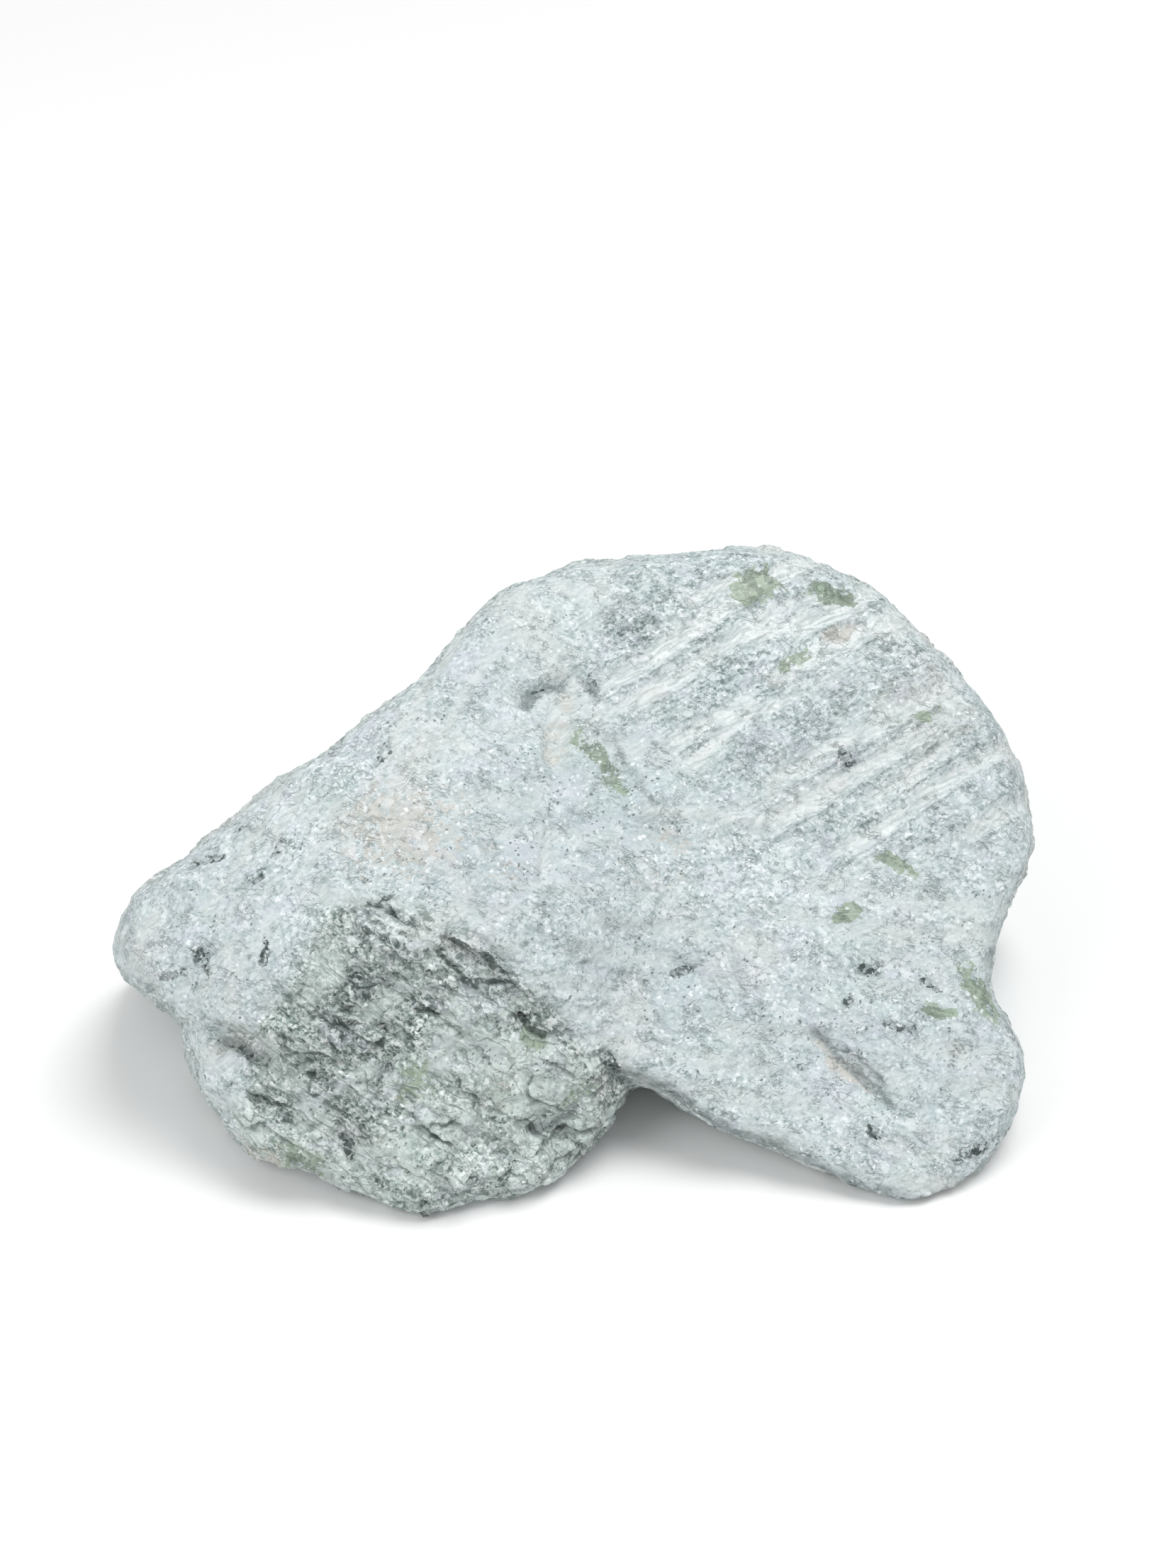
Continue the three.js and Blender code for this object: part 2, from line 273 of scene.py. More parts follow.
def shards(degrees, size, stretch, seed):
    """Flat chips drawn out along one direction of the display view, each at its own height and tilt."""
    along, across = turned(view + 0.7 * wander, degrees)
    points = np.stack([along / stretch, across, near], axis=1) / size
    _, number, slope = grains(points + 0.25 * rough(place, size, 2, seed + 5)[:, None], seed)
    return number - 0.5 + 0.45 * slope


def flutes(degrees, spacing, length, seed):
    """Parallel chisel cuts side by side, which come and go: the lane that a place is in, as a number that
    grows across the lanes, and how strongly that lane is cut there, 0 to 1."""
    along, across = turned(view + 0.5 * wander, degrees)
    bow = noise(np.stack([along / LANE_BEND[0], across / LANE_BEND[1], np.zeros(len(view))], axis=1), seed)
    lane = across / spacing + 0.6 * bow
    own = np.floor(lane)
    cut = noise(np.stack([along / length, own * 3.7, np.full(len(view), 0.5)], axis=1), seed + 1)
    return lane, smoothstep(-0.1, 0.15, cut)


def channel(lane):
    """The hollow of each lane, 0 to 1. A rough band is left between one lane and the next."""
    aside = (lane - np.floor(lane) - 0.5) / LANE_SHARE
    return np.sqrt(np.maximum(1 - 4 * aside**2, 0))


def terraces(field, rise):
    """Ledges that climb slowly and drop at once, 0 to 1."""
    step = field - np.floor(field)
    return np.where(step < 1 - rise, step / (1 - rise), (1 - step) / rise)


def patches(table):
    """Patches of the display side: (x, y, radius along, radius across, degrees, strength)."""
    total = np.zeros(len(view))
    for x, y, along, across, degrees, strength in table:
        a, b = turned(loose - (x, y), degrees)
        away = np.hypot(a / along, b / across)
        total = np.maximum(total, strength * smoothstep(1.7, 0.2, away))
    return total * facing


# Calm patches of the broken face, paler and smoother than the rest of it.
PALE = [
    (-33, -65, 10, 8, -20, 0.9), (-12, -57, 9, 10, 0, 0.9), (-92, -54, 5, 12, 10, 0.9),
    (-24, -46, 12, 8, -40, 0.7), (-58, -30, 4, 2.6, 30, 0.8), (-42, -53, 7, 6, 0, 0.6),
    (-70, -74, 12, 4, -30, 0.8), (-38, -20, 9, 3, -35, 0.5), (-8, -74, 12, 5, 35, 0.8),
    (-3, -55, 6, 8, -20, 0.7), (-40, -78, 9, 4, 0, 0.6),
]

# Gentle unevenness all over, and where the stone is crumbly rather than rubbed smooth.
height = 0.4 * rough(place, 13, 3, 71)
crumbly = smoothstep(-0.25, 0.45, rough(place, 9, 4, 75))
height += (0.04 + 0.08 * crumbly) * rough(place, 2.8, 2, 81)

# The marks of the tools, one row for each region: its own chisel cuts (spacing, length and depth), its
# scratches (length, width and height) and its chips (size, stretch and height), how much of the chips a
# cut takes away, and a seed.
TOOL_MARKS = {
    "dome": (dome, DOME_GRAIN, (7.6, 30, 1.1), (12, 1.9, 0.25), (3.2, 2.6, 0.6), 0.9, 101),
    "nose": (nose, NOSE_GRAIN, (5.5, 24, 0.6), (12, 2.0, 0.55), (2.8, 2.8, 0.35), 0.8, 121),
    "plain": (plain, PLAIN_GRAIN, (8, 26, 0.4), (9, 2.2, 0.2), (3.6, 2.2, 0.26), 0.8, 141),
}
lanes, strengths, cuts = {}, {}, {}
for name, (region, degrees, cut, scratch, chip, taken, seed) in TOOL_MARKS.items():
    spacing, length, depth = cut
    lanes[name], share = flutes(degrees, spacing, length, seed)
    strengths[name] = share * region
    cuts[name] = strengths[name] * channel(lanes[name])
    height -= depth * cuts[name]
    length, width, rise = scratch
    height += region * rise * streaks(degrees, length, width, seed + 10)
    size, stretch, rise = chip
    height += region * rise * shards(degrees, size, stretch, seed + 14) * crumbly * (1 - taken * cuts[name])

# The broken face: ledges of schist that run down to the right, and flakes across them.
LEDGE_SPACING = 8.5
FLAKE_SPACING = 4.0
along, across = turned(view, LEDGE_GRAIN)
bend = np.stack([along / 26, across / 11, near / 11], axis=1)
ledge_field = across / LEDGE_SPACING + 0.55 * rough(bend, 1, 3, 161) + 0.12 * rough(place, 4, 2, 171)
ledge_strength = smoothstep(-0.3, 0.5, rough(place, 17, 2, 181))
height += broken * 1.9 * terraces(-ledge_field, 0.12) * ledge_strength
small_bend = np.stack([along / 10, across / 5, near / 5], axis=1)
flake_field = across / FLAKE_SPACING + 0.9 * rough(small_bend, 1, 3, 191)
flake_strength = smoothstep(-0.5, 0.2, rough(place, 9, 2, 201))
calm = np.maximum(patches(PALE), smoothstep(-0.1, 0.4, rough(place, 12, 2, 213)))
hackly = smoothstep(-45, -62, view[:, 0] + 5 * wander[:, 0])
height += broken * (1 - 0.6 * calm) * 0.55 * terraces(-flake_field, 0.2) * flake_strength
height += broken * 1.2 * shards(LEDGE_GRAIN, 10, 1.8, 203)
height += broken * (1 - 0.7 * calm) * 0.7 * shards(LEDGE_GRAIN, 5.0, 2.8, 207)
height += broken * (1 - 0.8 * calm) * (0.3 + 0.7 * hackly) * 0.8 * shards(LEDGE_GRAIN, 2.6, 3.0, 205)
height += broken * (1 - 0.7 * calm) * 0.18 * rough(place, 3.0, 2, 211, 0.6)

# The lower rim of the display side, which turns down to the floor.
rim = smoothstep(0.1, -0.3, outward[:, 2]) * facing * (1 - broken)
height += rim * 0.8 * shards(PLAIN_GRAIN, 4.0, 1.6, 215)

# The sides that are not displayed: ledges of the same schist, weathered soft.
SCHIST = np.array([0.35, -0.2, 0.9])  # across the schist's layers
BACK_SPACING = 10
back_field = (place @ SCHIST) / BACK_SPACING + 0.9 * rough(place, 26, 3, 221)
height += hidden * 1.1 * terraces(back_field, 0.2) * smoothstep(-0.3, 0.4, rough(place, 22, 2, 231))
_, number, slope = grains((place + 1.5 * rough(place, 6, 2, 235)[:, None]) / 5, 237)
height += hidden * 0.8 * (number - 0.5 + 0.45 * slope)
height += hidden * 0.25 * rough(place, 4, 3, 241, 0.6)

# Little pits, in some of the cells of this size. A chisel cut takes most of them away.
PIT_CELL = 4.6
PIT_DEPTH = 0.5
hole, number, _ = grains((place + 0.8 * rough(place, 3, 2, 245)[:, None]) / PIT_CELL, 251)
pits = smoothstep(0.38, 0.2, hole) * (number > 0.72)
height -= PIT_DEPTH * pits * (1 - 0.6 * cuts["dome"])

# Smooth cuts of the chisel: (points, half width, depth). They are cleaner than the stone round them.
CUTS = [
    ([(-2, 50), (-4.5, 40), (-5, 32)], 3.6, 1.1),
    ([(32, 73), (41, 77.5), (49, 80)], 1.8, 0.7),
    ([(49, 64), (62, 68), (76, 70.5)], 2.4, 0.8),
    ([(54, 71), (60, 72.5), (65, 73)], 1.4, 0.6),
    ([(32, 31), (39, 37), (46, 43.5)], 2.2, 0.8),
    ([(51, 43), (58, 48)], 1.4, 0.5),
    ([(-6, 12), (-8, 0)], 1.6, 0.7),
    ([(19, 17), (34, 16), (50, 14.5)], 1.8, -0.5),
]
# Cracks and creases: (points, half width, depth).
CRACKS = [
    ([(-12.5, 46), (-8, 50.5), (-4, 52)], 1.7, 2.6),
    ([(-3, 54.5), (3, 52), (6.5, 47)], 1.8, 1.0),
    ([(34, 38), (42, 46.5), (51, 53), (60, 60), (69, 64), (76, 67)], 0.8, 0.7),
    ([(52, 44), (61, 50)], 0.6, 0.4),
    ([(63, -42), (67, -46), (73, -51), (81, -60)], 1.5, 1.3),
    ([(70, -45), (76, -50), (82, -58)], 1.0, 1.2),
    ([(-92, -43), (-86, -46), (-81, -49)], 1.3, 1.8),
    ([(-49.7, -47), (-49.5, -51), (-52, -55)], 0.8, 1.2),
    ([(-11, -66.5), (-6, -65), (-1, -62.5)], 2.0, 1.6),
    ([(27, -22), (31, -26)], 1.6, 0.9),
    ([(22, 19), (27, 12), (34, 9)], 0.8, 0.5),
]
# Ledges: (points from left to right, drop on the lower side, width of the fall).
LEDGES = [
    ([(-56, -14), (-50, -16), (-44, -17.5), (-40, -19), (-35, -18.5)], 1.0, 5),
    ([(-45.5, -19), (-41, -22), (-38, -24)], 0.8, 5),
    ([(-32, -16), (-27, -18.5), (-21.5, -22), (-18.5, -24)], 1.6, 7),
    ([(-35, -20), (-30, -24.5), (-25.5, -29)], 1.2, 6),
    ([(-27, -26.5), (-19.5, -26.5), (-15.5, -28.5), (-12, -32)], 1.6, 7),
    ([(-14, -36.5), (-11.5, -39.5), (-9, -41)], 1.6, 6),
    ([(-25, -38), (-22, -36.8), (-19, -38.5)], 1.0, 4),
    ([(-45, -26), (-40.5, -28), (-35, -29), (-32, -29)], 0.7, 5),
    ([(-67, -35.5), (-60, -38.3), (-54.5, -39), (-50, -38.3)], 1.3, 6),
    ([(-64, -30), (-61, -33), (-58, -34)], 1.0, 4),
    ([(-56, -45.8), (-51.5, -44.5), (-49.4, -40.5)], 1.0, 4),
    ([(-50.2, -46.5), (-49.6, -50), (-51, -54.5)], 0.9, 4),
    ([(-78, -41), (-71, -43.5), (-65, -47.5)], 1.1, 5),
    ([(-76, -47), (-70, -51), (-64, -53)], 1.0, 4),
    ([(-70, -56), (-64, -59.5), (-59, -62)], 1.0, 4),
    ([(-43, -62), (-39.5, -64.5), (-35, -65.2), (-33, -63.8)], 0.9, 4),
    ([(-44, -48), (-40, -51), (-36, -51.5)], 0.8, 4),
    ([(-55.5, -7.5), (-51, -8), (-47, -9.5)], 1.0, 4),
    ([(5.5, 40), (10, 34.5), (14.5, 29)], 0.7, 6),
]
for line, half_width, depth in CUTS:
    away, _ = to_line(view + 0.5 * wander, line)
    cut = smoothstep(half_width * 1.25, half_width * 0.55, away)
    height -= facing * depth * cut
    cuts["dome"] = np.maximum(cuts["dome"], facing * cut)
for line, half_width, depth in CRACKS:
    away, _ = to_line(view + 1.1 * wander, line)
    height -= facing * depth * smoothstep(half_width * 1.6, half_width * 0.2, away)
LIP_RISE = 0.35  # shares of a ledge's drop: above the old surface, and below it
LIP_FALL = 0.75
# A band of painted shade below each ledge, kept for the material.
under_ledge = np.zeros(len(place))
for line, drop, fall in LEDGES:
    away, side = to_line(view + 1.4 * wander, line)
    below = smoothstep(fall, 0, away) * (side < 0)
    above = smoothstep(fall * 0.7, 0, away) * (side >= 0)
    height += facing * 1.1 * drop * (LIP_RISE * above - LIP_FALL * below)
    under_ledge = np.maximum(under_ledge, facing * drop * smoothstep(2.2, 0.3, away + 0.8 * (side >= 0)))
under_ledge *= smoothstep(-0.7, 0.2, rough(place, 5, 3, 255)) * (1 + 0.8 * rough(place, 2.2, 2, 257))

fine = height - blurred(height, 10)

# Next to the floor the relief is faint and only goes inwards, so that the stone keeps its flat base.
floor_share = smoothstep(0.2, 3.0, place[:, 2])
height = mixed(-np.abs(height) * 0.3, height, floor_share)
moved = place + outward * height[:, None]
moved[:, 2] = np.maximum(moved[:, 2], 0)
stone.data.vertices.foreach_set("co", (moved * MM).ravel())
stone.data.update()
for polygon in stone.data.polygons:
    polygon.use_smooth = True


def keep(name, values):
    """Keeps a field on the mesh for the material to read."""
    attribute = stone.data.attributes.new(name, "FLOAT", "POINT")
    attribute.data.foreach_set("value", values.astype(np.float32))


# Patches of colour.
GREEN = [
    (6.5, 31, 12, 2.8, -55, 0.75), (49, 77, 7, 4.5, 20, 1.0), (69, 74, 8, 2.6, -14, 0.9),
    (58, 56.5, 5, 1.6, 28, 0.8), (92, 42, 7, 2, 0, 0.6), (84, 3.5, 6, 1.8, -40, 1.0),
    (72, -9.5, 4.5, 2, 10, 1.0), (95, -36, 5, 2, 0, 0.9), (106, -31, 9, 3, -60, 0.8),
    (-43, -54, 6, 5, 30, 0.6), (-12, -42, 4, 2.4, -40, 0.8), (-1, -60, 8, 4, 50, 0.5),
    (-72, -73, 8, 3, -30, 0.6),
]
BROWN = [
    (70, 64, 5, 1.8, 25, 0.9), (26, 9, 8, 4, -20, 0.6), (71, -51, 12, 2.6, -42, 0.9),
    (-3, 44, 3.4, 9, 0, 0.5), (-45, 12, 20, 14, 10, 0.7), (-5, 34, 4, 9, 0, 0.5),
    (20, 0, 14, 9, 0, 0.4), (-18, 2, 16, 10, 0, 0.4), (-78, -76, 16, 5, -30, 0.7),
    (-20, -56, 5, 7, 20, 0.5),
]
# Undercut edges that stay in shadow: (points, half width, strength).
SHADOWS = [
    ([(8, -50), (14, -52.5), (20, -55), (36, -66), (54, -72)], 2.6, 0.7),
    ([(54, -72), (66, -78), (76, -83), (90, -86)], 2.0, 0.6),
    ([(109, -22), (113, -34), (116, -42)], 2.2, 0.8),
    ([(-12.5, 45), (-8.5, 49.5), (-3, 51.5)], 1.5, 0.9),
    ([(-2.5, 53), (2.5, 51.5), (6.5, 46.5)], 1.3, 0.8),
    ([(9, 38), (13, 31), (17, 24), (21, 19)], 1.1, 0.6),
    ([(72, -50), (77, -55), (83, -60)], 1.7, 0.9),
    ([(64, -42.5), (68, -46), (71, -49)], 1.2, 0.7),
    ([(71, -45), (76, -49), (81, -55)], 1.0, 0.8),
    ([(-11, -66), (-6, -64.5), (-1, -62)], 1.8, 0.9),
]
# Dark spots: chlorite flecks, and painted shade in pits and at the notch's tips.
DARK = [
    (71, 31, 4.5, 3, -50, 0.8), (28, -24, 3.4, 2.2, 20, 0.8), (77, -25, 3, 2.4, 0, 0.7),
    (-96, 5, 4, 1.4, 0, 0.6), (-78, 8, 4, 1.2, 50, 0.6), (-83, 1, 3, 1.0, 60, 0.6),
    (-50, 33, 4, 1.6, 50, 0.45), (-82, -19, 0.9, 4.4, 0, 0.9), (-99, -23, 2.8, 5, 20, 0.6),
    (-107, -26, 4, 1.6, 0, 0.7), (-56, -29, 9, 5, 20, 0.6), (-60, -44, 10, 5, -35, 0.45),
    (-59, -70, 1.8, 4, 10, 0.9), (-27, -78, 2, 2, 0, 0.9), (-26, -71, 1, 1.4, 0, 0.9),
    (78, -68, 3, 2, 0, 0.8), (86, -40, 4, 1.6, -20, 0.7), (72, -34, 2, 3, 0, 0.7),
    (100, -46, 2, 5, -20, 0.6), (104, -72, 5, 2, 40, 0.7), (92, -28, 4, 1.6, -30, 0.7),
    (9, -49, 4, 1.4, -30, 0.9), (-9, 50, 4, 0.8, 35, 0.7), (4, 51, 3.4, 1.2, -40, 0.6),
    (-88, -45, 7, 1.6, -30, 0.7), (-52, -7, 5, 2, 10, 0.6),
]

# Cooler and greyer areas; and the darkest parts of the broken face, which are darker stone and also painted
# shade in its recesses.
COOL = [
    (-104, -10, 26, 24, 30, 0.65), (92, -50, 44, 30, -30, 0.75), (108, 14, 22, 34, 0, 0.5),
    (40, -30, 50, 20, -20, 0.8), (60, 30, 30, 20, 30, 0.4), (-5, 12, 44, 28, 20, 1.0),
    (-24, 52, 34, 16, 45, 0.5),
]
SHADE = [
    (-58, -34, 15, 13, 0, 0.9), (-78, -50, 16, 8, -35, 0.9), (-22, -26, 17, 6, -36, 0.7),
    (-52, -10, 10, 4, 0, 0.7), (-8, -40, 9, 4, -45, 0.6), (-62, -62, 9, 10, 0, 0.5),
    (6, -56, 10, 4, 45, 0.6), (10, -50, 6, 3, -20, 1.0), (-38, -58, 8, 6, 0, 0.4),
    (-92, -44, 7, 3, -30, 0.7),
]

shadow = np.zeros(len(place))
for line, half_width, strength in SHADOWS:
    away, _ = to_line(loose, line)
    shadow = np.maximum(shadow, facing * strength * smoothstep(1.5 * half_width, 0.4 * half_width, away))

KEPT = {
    "shadow": shadow,
    "broken": broken,
    "hidden": hidden,
    "dome": dome,
    "nose": nose,
    "plain": plain,
    "smooth_cut": np.clip(cuts["dome"] + cuts["nose"] + 0.7 * cuts["plain"], 0, 1),
    # the fine relief, also used for painted shade and light in the colour
    "relief": np.clip(0.5 + fine / 2, 0, 1),
    "crumbly": crumbly,
    "lane": lanes["dome"],
    "lane_strength": strengths["dome"],
    "ledge": -ledge_field,
    "ledge_strength": broken * ledge_strength,
    "flake": -flake_field,
    "flake_strength": broken * flake_strength,
    "under_ledge": under_ledge,
    # painted shade on the surfaces that face down
    "under": smoothstep(0.1, -0.4, outward[:, 2] + 0.15 * wander[:, 0]),
    "cool": patches(COOL),
    "shade": patches(SHADE),
    "calm": calm,
    "rim": rim,
    "green": patches(GREEN),
    "brown": patches(BROWN),
    "dark": patches(DARK),
}
for name, values in KEPT.items():
    keep(name, values)

# ---------------------------------------------------------------- the stone's material


def colour(red, green, blue):
    """A colour given in screen values, 0 to 255, as the shader takes it."""
    parts = [c / 255 for c in (red, green, blue)]
    return (*[c / 12.92 if c < 0.04 else ((c + 0.055) / 1.055) ** 2.4 for c in parts], 1)


# The stone's colours, as screen values. The two scales run from the darkest grain to the palest.
POWDER = [
    (0.10, (110, 125, 124)), (0.30, (163, 177, 178)), (0.50, (194, 206, 208)), (0.70, (218, 227, 229)),
    (0.90, (246, 251, 253)),
]
BARE_SCHIST = [
    (0.08, (66, 81, 76)), (0.30, (131, 148, 141)), (0.50, (180, 194, 188)), (0.70, (216, 227, 223)),
    (0.92, (250, 255, 254)),
]
SHADE_AND_DARK_SCHIST = (112, 127, 122)
CALM_FACE = (218, 228, 225)
RIM_SHADE = (108, 121, 117)
COOL_GREY = (184, 197, 201)
WARM_GREY = (211, 211, 208)
LILAC = (207, 211, 222)
MINT = (196, 211, 206)
BEIGE = (201, 194, 182)
SCRAPED_DULL = (176, 185, 182)
SCRAPED_PALE = (225, 229, 226)
LANE_EDGE_SHADE = (140, 154, 150)
LIP_HIGHLIGHT = (222, 233, 229)
FLAKE_SHADE = (88, 102, 97)
LEDGE_SHADE = (76, 90, 85)
UNDER_LEDGE_SHADE = (72, 86, 81)
SERPENTINE_DEEP = (90, 109, 84)
SERPENTINE_PALE = (144, 163, 138)
SHADOW_DEEP = (58, 68, 69)
SHADOW_PALE = (176, 186, 188)
CHLORITE_AND_PIT_SHADE = (66, 77, 76)
FLECK = (88, 101, 100)
CRACK = (104, 117, 115)
CRUMB = (243, 249, 250)
GLINT = (250, 253, 254)

# The sizes of its grain and of its chips.
GRAIN_SIZE = 1.1
LARGE_CHIP = 6.0
SMALL_CHIP = 2.2
TINY_CHIP = 0.95


class Shader:
    """Short names for the few kinds of node that the materials use. Sizes are in mm."""

    MIX_SOCKETS = {"FLOAT": (0, 2, 3, 0), "RGBA": (0, 6, 7, 2)}  # share, a, b and the result

    def __init__(self, name):
        self.material = bpy.data.materials.new(name)
        self.material.use_nodes = True
        self.tree = self.material.node_tree
        self.principled = self.tree.nodes["Principled BSDF"]

    def node(self, kind, **settings):
        made = self.tree.nodes.new("ShaderNode" + kind)
        for name, value in settings.items():
            setattr(made, name, value)
        return made

    def link(self, value, socket):
        if isinstance(value, bpy.types.NodeSocket):
            self.tree.links.new(value, socket)
        else:
            socket.default_value = value

    def position(self):
        return self.node("TexCoord").outputs["Object"]

    def field(self, name):
        return self.node("Attribute", attribute_name=name).outputs["Fac"]

    def calc(self, operation, *values):
        made = self.node("Math", operation=operation)
        for value, socket in zip(values, made.inputs):
            self.link(value, socket)
        return made.outputs[0]

    def times(self, a, b):
        return self.calc("MULTIPLY", a, b)

    def plus(self, a, b):
        return self.calc("ADD", a, b)

    def minus(self, a, b):
        return self.calc("SUBTRACT", a, b)

    def most(self, a, b):
        return self.calc("MAXIMUM", a, b)

    def scaled(self, value, factor, start):
        """The value times the factor, added to the start."""
        return self.calc("MULTIPLY_ADD", value, factor, start)

    def vector(self, operation, a, b):
        made = self.node("VectorMath", operation=operation)
        self.link(a, made.inputs[0])
        self.link(b, made.inputs[1])
        return made.outputs["Value" if operation == "DOT_PRODUCT" else "Vector"]

    def noise(self, vector, size, detail=4.0, roughness=0.6, distortion=0.0, output="Fac"):
        made = self.node("TexNoise")
        self.link(vector, made.inputs["Vector"])
        made.inputs["Scale"].default_value = 1 / (size * MM)
        made.inputs["Detail"].default_value = detail
        made.inputs["Roughness"].default_value = roughness
        made.inputs["Distortion"].default_value = distortion
        return made.outputs[output]

    def cells(self, vector, size):
        """Small grains side by side, and each one's own value from 0 to 1."""
        made = self.node("TexVoronoi")
        self.link(vector, made.inputs["Vector"])
        made.inputs["Scale"].default_value = 1 / (size * MM)
        split = self.node("SeparateColor")
        self.link(made.outputs["Color"], split.inputs[0])
        return made, split.outputs[0]

    def chips(self, vector, size):
        return self.cells(vector, size)[1]

    def dots(self, vector, size, share, radius):
        """Spots in this share of the grains, with a radius given as a share of a grain."""
        grains, own = self.cells(vector, size)
        near = self.steps(grains.outputs["Distance"], radius, 0.7 * radius)
        return self.times(near, self.calc("LESS_THAN", own, share))

    def facets(self, vector, size, lean):
        """Flat broken facets side by side: each one's own value, and its height in mm as it leans."""
        grains, own = self.cells(vector, size)
        from_middle = self.vector("SUBTRACT", vector, grains.outputs["Position"])
        tilt = self.vector("SUBTRACT", grains.outputs["Color"], (0.5, 0.5, 0.5))
        rise = self.vector("DOT_PRODUCT", from_middle, tilt)
        return own, self.times(rise, lean / MM)

    def lines(self, vector, size, width):
        """Thin wandering lines, where a noise passes through its middle value."""
        away = self.calc("ABSOLUTE", self.minus(self.noise(vector, size, 2, 0.5, 0.8), 0.5))
        return self.steps(away, width, 0.25 * width)

    def warped(self, vector, size, amount, detail):
        push = self.noise(vector, size, detail, 0.6, output="Color")
        push = self.vector("SUBTRACT", push, (0.5, 0.5, 0.5))
        reach = 2 * amount * MM
        return self.vector("ADD", vector, self.vector("MULTIPLY", push, (reach, reach, reach)))

    def grained(self, vector, degrees, stretch):
        """Places with one direction of the display view drawn together, so that noise streaks along it."""
        angle = math.radians(degrees)
        right, up = Vector((1, 0, 0)), Vector(UP_IN_VIEW)
        along = (right * math.cos(angle) + up * math.sin(angle)) / stretch
        across = up * math.cos(angle) - right * math.sin(angle)
        combine = self.node("CombineXYZ")
        for axis, socket in zip((along, across, Vector(TO_EYE)), combine.inputs):
            self.link(self.vector("DOT_PRODUCT", vector, axis), socket)
        return combine.outputs[0]

    def steps(self, value, low, high):
        """0 below low and 1 above high."""
        made = self.node("MapRange", interpolation_type="SMOOTHSTEP")
        self.link(value, made.inputs["Value"])
        made.inputs["From Min"].default_value = low
        made.inputs["From Max"].default_value = high
        return made.outputs["Result"]

    def ramp(self, value, stops):
        made = self.node("ValToRGB")
        elements = made.color_ramp.elements
        while len(elements) < len(stops):
            elements.new(0.5)
        for element, (position, shade) in zip(elements, stops):
            element.position = position
            element.color = colour(*shade)
        self.link(value, made.inputs["Fac"])
        return made.outputs["Color"]

    def mix(self, share, a, b, data_type="RGBA"):
        made = self.node("Mix", data_type=data_type)
        *places, result = self.MIX_SOCKETS[data_type]
        for value, place in zip((share, a, b), places):
            self.link(value, made.inputs[place])
        return made.outputs[result]

    def blend(self, share, a, b):
        return self.mix(share, a, b, "FLOAT")

    def tint(self, base, share, strength, shade):
        return self.mix(self.times(share, strength), base, colour(*shade))

    def bump(self, height):
        """A surface normal as if the surface stood higher by this many mm."""
        made = self.node("Bump")
        made.inputs["Distance"].default_value = MM
        self.link(height, made.inputs["Height"])
        return made.outputs["Normal"]


def weighted(s, *terms):
    """0.5 plus each value's distance from 0.5 times its weight."""
    total = 0.5
    for value, weight in terms:
        total = s.scaled(s.minus(value, 0.5), weight, total)
    return total


def added(s, *terms):
    """Each value times its weight, added up."""
    total = 0.0
    for value, weight in terms:
        total = s.scaled(value, weight, total)
    return total


def along_grain(s, f, size, detail, roughness, share):
    """Noise that is drawn out along the tool marks or the layers of each region."""
    total = s.noise(f.bent, size, detail, roughness)
    for region, degrees, stretch in (
        (f.dome, DOME_GRAIN, 8), (f.nose, NOSE_GRAIN, 7),
        (f.plain, PLAIN_GRAIN, 5), (f.broken, LEDGE_GRAIN, 3),
    ):
        drawn = s.noise(s.grained(f.flow, degrees, stretch), 0.8 * size, detail, roughness)
        total = s.blend(s.times(region, share), total, drawn)
    return total


def shared_fields(s):
    """What several parts of the soapstone's material use."""
    f = SimpleNamespace(**{name: s.field(name) for name in KEPT})
    f.spot = s.position()
    f.bent = s.warped(f.spot, 2.2, 1.0, 3)
    f.flow = s.warped(f.spot, 20, 5, 2)
    f.raw = s.most(f.broken, s.times(f.hidden, 0.6))
    f.rubbed = s.scaled(f.smooth_cut, -0.6, 1.0)
    f.grain = along_grain(s, f, GRAIN_SIZE, 3, 0.68, 0.85)
    f.large, f.large_rise = s.facets(s.grained(f.bent, LEDGE_GRAIN, 2.0), LARGE_CHIP, 0.9)
    f.small, f.small_rise = s.facets(s.grained(f.bent, LEDGE_GRAIN, 1.7), SMALL_CHIP, 0.9)
    f.tiny = s.chips(f.bent, TINY_CHIP)
    f.rasped = s.noise(s.grained(f.flow, DOME_GRAIN, 10), 1.2, 3, 0.65)
    f.hatch = s.calc("MINIMUM", scratches(s, f, 38), scratches(s, f, -32))
    f.ragged = weighted(s, (s.noise(f.bent, 3.0, 4, 0.65, 0.6), 1.6), (f.grain, 0.8), (f.small, 0.12))
    f.splintered = weighted(s, (f.ragged, 0.6), (f.small, 0.35), (f.tiny, 0.25))
    return f


def scratches(s, f, degrees):
    """Fine scratches in one direction of the display view: 0 in a scratch and 1 between them."""
    return s.steps(s.noise(s.grained(f.flow, degrees, 7), 0.6, 2, 0.6), 0.34, 0.5)


